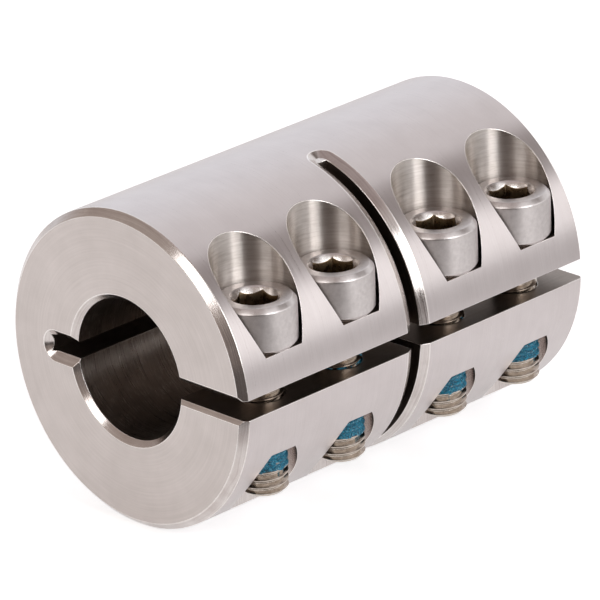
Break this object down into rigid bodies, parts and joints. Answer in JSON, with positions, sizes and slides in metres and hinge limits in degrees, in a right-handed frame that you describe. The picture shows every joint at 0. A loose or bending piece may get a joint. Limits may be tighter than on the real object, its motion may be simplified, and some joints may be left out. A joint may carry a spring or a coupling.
{
  "type": "one-piece clamp coupling",
  "caption": "Stainless steel one-piece clamp coupling that joins two shafts of one size end to end, with socket head screws across a full-length slit.",
  "frame": {"origin": "on the bore axis at mid-length, which is the centre of the bounding box", "axes": "+Y along the bore from the front face to the rear face, +X towards the clamp slit, +Z along the screws towards their heads"},
  "size_m": [0.034, 0.05, 0.034],
  "materials": {
    "turned_steel": "satin turned stainless steel",
    "screw_steel": "satin stainless steel, bright edges",
    "thread_lock": "dried blue thread-locking compound"
  },
  "bodies": {
    "hub": {"coupling_body": "turned_steel"},
    "patch_1": {"thread_lock_patch_1": "thread_lock"},
    "screw_1": {"clamp_screw_1": "screw_steel"},
    "patch_2": {"thread_lock_patch_2": "thread_lock"},
    "screw_2": {"clamp_screw_2": "screw_steel"},
    "patch_3": {"thread_lock_patch_3": "thread_lock"},
    "screw_3": {"clamp_screw_3": "screw_steel"},
    "patch_4": {"thread_lock_patch_4": "thread_lock"},
    "screw_4": {"clamp_screw_4": "screw_steel"}
  },
  "joints": [
    {"name": "screw_1_travel", "type": "slide", "parent": "hub", "child": "patch_1", "axis": [0, 0, 1], "range_m": [0, 0.0096]},
    {"name": "screw_1_turn", "type": "hinge", "parent": "patch_1", "child": "screw_1", "pos_m": [0.01265, -0.0185, 0.0045], "axis": [0, 0, 1], "range_deg": [0, 4320]},
    {"name": "screw_2_travel", "type": "slide", "parent": "hub", "child": "patch_2", "axis": [0, 0, 1], "range_m": [0, 0.0096]},
    {"name": "screw_2_turn", "type": "hinge", "parent": "patch_2", "child": "screw_2", "pos_m": [0.01265, -0.0075, 0.0045], "axis": [0, 0, 1], "range_deg": [0, 4320]},
    {"name": "screw_3_travel", "type": "slide", "parent": "hub", "child": "patch_3", "axis": [0, 0, 1], "range_m": [0, 0.0096]},
    {"name": "screw_3_turn", "type": "hinge", "parent": "patch_3", "child": "screw_3", "pos_m": [0.01265, 0.0075, 0.0045], "axis": [0, 0, 1], "range_deg": [0, 4320]},
    {"name": "screw_4_travel", "type": "slide", "parent": "hub", "child": "patch_4", "axis": [0, 0, 1], "range_m": [0, 0.0096]},
    {"name": "screw_4_turn", "type": "hinge", "parent": "patch_4", "child": "screw_4", "pos_m": [0.01265, 0.0185, 0.0045], "axis": [0, 0, 1], "range_deg": [0, 4320]}
  ],
  "couplings": [
    {"joint": "screw_1_turn", "follows": "screw_1_travel", "rad_per_m": 7854},
    {"joint": "screw_2_turn", "follows": "screw_2_travel", "rad_per_m": 7854},
    {"joint": "screw_3_turn", "follows": "screw_3_travel", "rad_per_m": 7854},
    {"joint": "screw_4_turn", "follows": "screw_4_travel", "rad_per_m": 7854}
  ]
}
